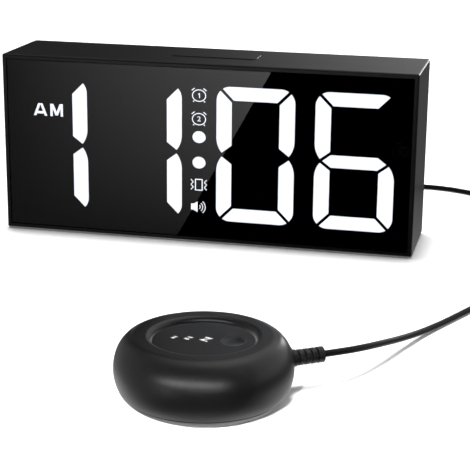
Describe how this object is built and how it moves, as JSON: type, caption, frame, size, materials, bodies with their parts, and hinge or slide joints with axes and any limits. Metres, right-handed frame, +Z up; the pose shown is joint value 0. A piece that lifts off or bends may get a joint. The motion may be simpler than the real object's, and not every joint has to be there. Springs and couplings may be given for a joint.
{
  "type": "bed shaker alarm clock",
  "caption": "Rectangular tabletop LED alarm clock with a smoked front, joined by a thin coiled cord to a round pebble-shaped bed shaker puck with a press top.",
  "frame": {"origin": "middle of the floor area that clock and shaker puck take up together, on the floor", "axes": "+X to the clock's right seen from the front, +Y to its rear, +Z up"},
  "size_m": [0.2887, 0.3688, 0.0914],
  "materials": {
    "case_black": "satin moulded",
    "lens_smoke": "polished, smoke tinted",
    "display_black": "moulded",
    "lit_white": "lit diffuser",
    "unlit_grey": "dark diffuser",
    "board_green": "solder mask",
    "led_cream": "moulded",
    "ribbon_grey": "flat cable",
    "switch_black": "moulded",
    "button_black": "satin moulded",
    "screw_steel": "zinc plated",
    "cell_steel": "bright",
    "contact_brass": "plated",
    "speaker_black": "pressed frame and paper cone",
    "rubber_black": "matte",
    "puck_black": "soft touch",
    "motor_steel": "drawn can",
    "weight_steel": "sintered",
    "cord_black": "extruded sheath",
    "tie_black": "woven strap"
  },
  "bodies": {
    "clock_and_shaker": {"front_housing": "case_black", "rear_cover": "case_black", "front_lens": "lens_smoke", "display_reflector": "display_black", "hour_tens_lit": "lit_white", "hour_units_lit": "lit_white", "minute_tens_lit": "lit_white", "minute_units_lit": "lit_white", "colon_lights": "lit_white", "unlit_segments": "unlit_grey", "indicator_windows": "unlit_grey", "leds": "led_cream", "led_board": "board_green", "control_board": "board_green", "snooze_board": "board_green", "shaker_board": "board_green", "ribbon_cable": "ribbon_grey", "control_board_screws": "screw_steel", "cover_screws": "screw_steel", "snooze_board_screws": "screw_steel", "shaker_board_screws": "screw_steel", "clamp_screws": "screw_steel", "shaker_screws": "screw_steel", "button_switches": "switch_black", "snooze_switch": "switch_black", "shaker_switch": "switch_black", "mode_switch_body": "switch_black", "volume_switch_body": "switch_black", "dc_inlet": "switch_black", "shaker_jack": "switch_black", "coin_cell": "cell_steel", "battery_contact": "contact_brass", "speaker": "speaker_black", "rubber_feet": "rubber_black", "shaker_top_shell": "puck_black", "shaker_bottom_shell": "puck_black", "shaker_pad": "rubber_black", "strain_relief": "rubber_black", "vibration_motor": "motor_steel", "motor_clamp": "motor_steel", "cord_from_shaker": "cord_black", "cord_coil": "cord_black", "cord_to_clock": "cord_black", "cord_tie": "tie_black", "jack_plug": "cord_black", "jack_pin": "cell_steel"},
    "snooze_bar": {"snooze_bar": "case_black"},
    "battery_door": {"battery_door": "case_black"},
    "shaker_button": {"shaker_button": "puck_black"},
    "shaker_rotor": {"motor_shaft": "motor_steel", "eccentric_weight": "weight_steel"},
    "mode_knob": {"mode_switch_knob": "button_black"},
    "volume_knob": {"volume_switch_knob": "button_black"},
    "time_set_button": {"time_set_button": "button_black"},
    "alarm_1_button": {"alarm_1_button": "button_black"},
    "alarm_2_button": {"alarm_2_button": "button_black"},
    "hour_button": {"hour_button": "button_black"},
    "minute_button": {"minute_button": "button_black"},
    "dimmer_button": {"dimmer_button": "button_black"}
  },
  "joints": [
    {"name": "snooze_press", "type": "slide", "parent": "clock_and_shaker", "child": "snooze_bar", "axis": [0, 0, -1], "range_m": [0, 0.0008], "stiffness_N_per_m": 1500},
    {"name": "shaker_button_press", "type": "slide", "parent": "clock_and_shaker", "child": "shaker_button", "axis": [0, 0, -1], "range_m": [0, 0.0008], "stiffness_N_per_m": 1500},
    {"name": "rotor_spin", "type": "hinge", "parent": "clock_and_shaker", "child": "shaker_rotor", "pos_m": [0.051, -0.105, 0.0096], "axis": [1, 0, 0], "continuous": true},
    {"name": "mode_slide", "type": "slide", "parent": "clock_and_shaker", "child": "mode_knob", "axis": [1, 0, 0], "range_m": [-0.003, 0.003]},
    {"name": "volume_slide", "type": "slide", "parent": "clock_and_shaker", "child": "volume_knob", "axis": [1, 0, 0], "range_m": [-0.0015, 0.0015]},
    {"name": "battery_door_pull", "type": "slide", "parent": "clock_and_shaker", "child": "battery_door", "axis": [0, 1, 0], "range_m": [0, 0.02]},
    {"name": "time_set_press", "type": "slide", "parent": "clock_and_shaker", "child": "time_set_button", "axis": [0, -1, 0], "range_m": [0, 0.0007], "stiffness_N_per_m": 1500},
    {"name": "alarm_1_press", "type": "slide", "parent": "clock_and_shaker", "child": "alarm_1_button", "axis": [0, -1, 0], "range_m": [0, 0.0007], "stiffness_N_per_m": 1500},
    {"name": "alarm_2_press", "type": "slide", "parent": "clock_and_shaker", "child": "alarm_2_button", "axis": [0, -1, 0], "range_m": [0, 0.0007], "stiffness_N_per_m": 1500},
    {"name": "hour_press", "type": "slide", "parent": "clock_and_shaker", "child": "hour_button", "axis": [0, -1, 0], "range_m": [0, 0.0007], "stiffness_N_per_m": 1500},
    {"name": "minute_press", "type": "slide", "parent": "clock_and_shaker", "child": "minute_button", "axis": [0, -1, 0], "range_m": [0, 0.0007], "stiffness_N_per_m": 1500},
    {"name": "dimmer_press", "type": "slide", "parent": "clock_and_shaker", "child": "dimmer_button", "axis": [0, -1, 0], "range_m": [0, 0.0007], "stiffness_N_per_m": 1500}
  ]
}
